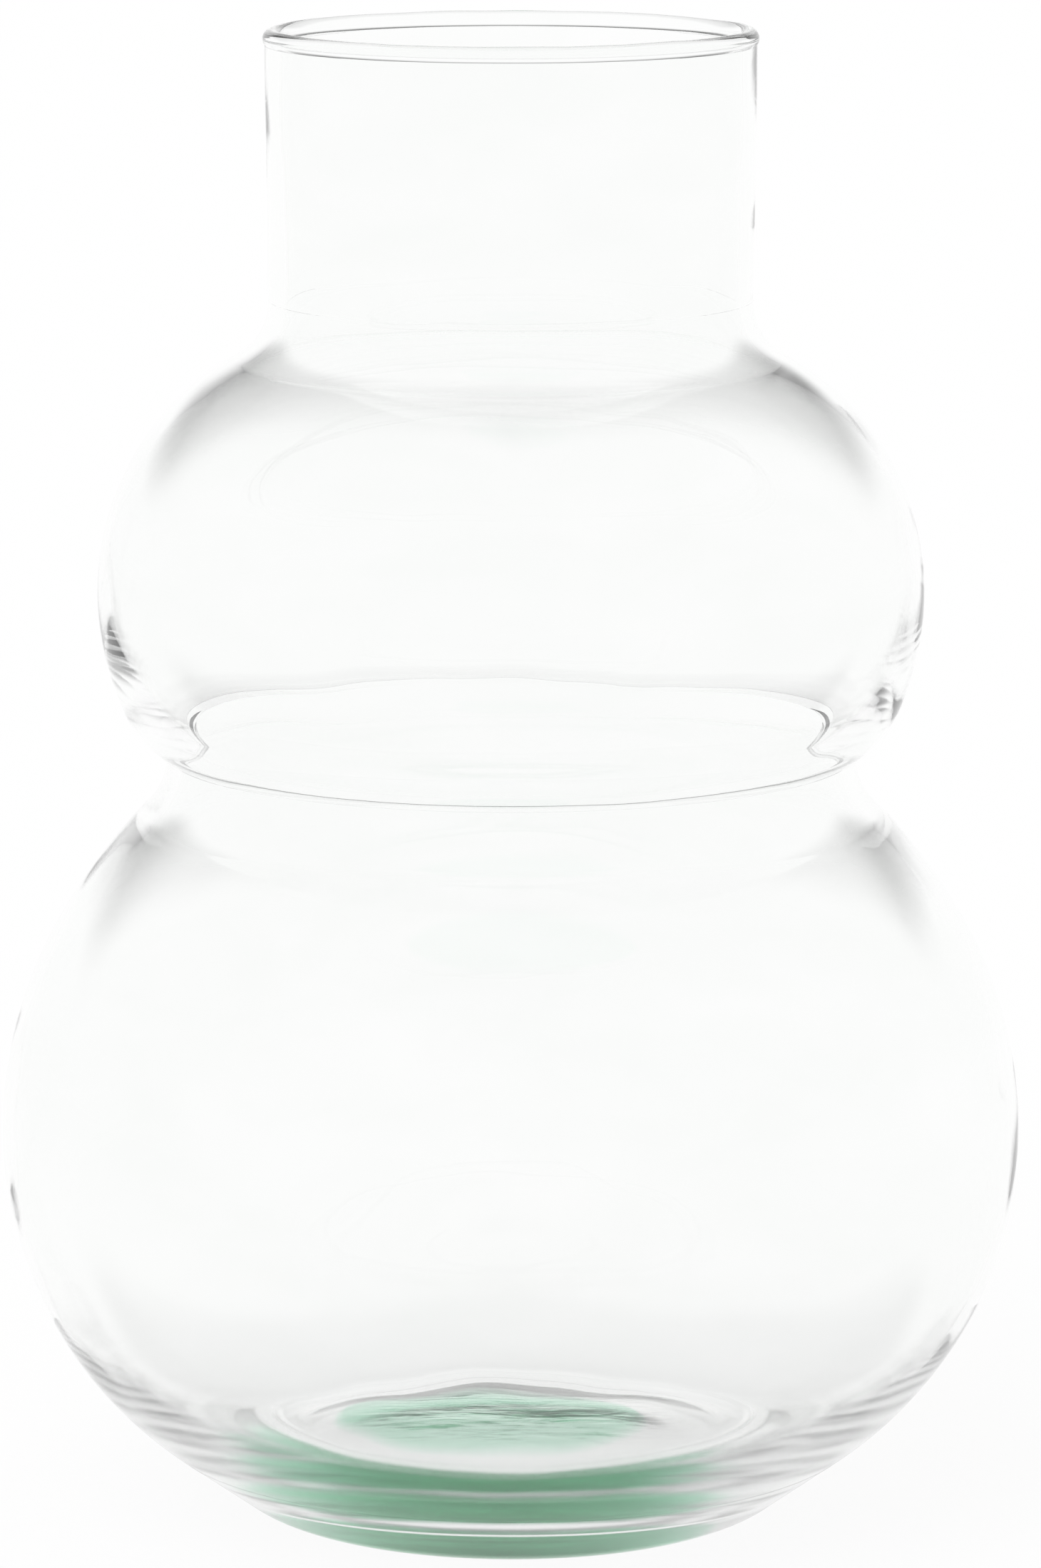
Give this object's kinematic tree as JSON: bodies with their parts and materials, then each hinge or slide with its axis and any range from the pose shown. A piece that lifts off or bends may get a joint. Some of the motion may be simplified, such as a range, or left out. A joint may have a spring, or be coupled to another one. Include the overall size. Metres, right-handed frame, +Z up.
{
  "type": "double gourd vase",
  "caption": "Clear blown glass vase with a round belly, a pinched waist, a smaller upper bulb, a straight collar neck and a thick base with a green core.",
  "frame": {"origin": "centre of the foot's resting plane, on the upright axis", "axes": "+Z up the axis from the foot to the mouth; +X to the right and -Y towards the viewer in the front view, though the vase is round"},
  "size_m": [0.2, 0.2, 0.2902],
  "materials": {
    "clear_glass": "fire-polished, clear, with fine seeds and soft waves",
    "green_glass": "fire-polished, bottle green, with seeds and soft streaks"
  },
  "bodies": {
    "root": {"green_core": "green_glass", "base": "clear_glass", "lower_bulb": "clear_glass", "upper_bulb": "clear_glass", "neck": "clear_glass", "lip": "clear_glass"}
  },
  "joints": []
}
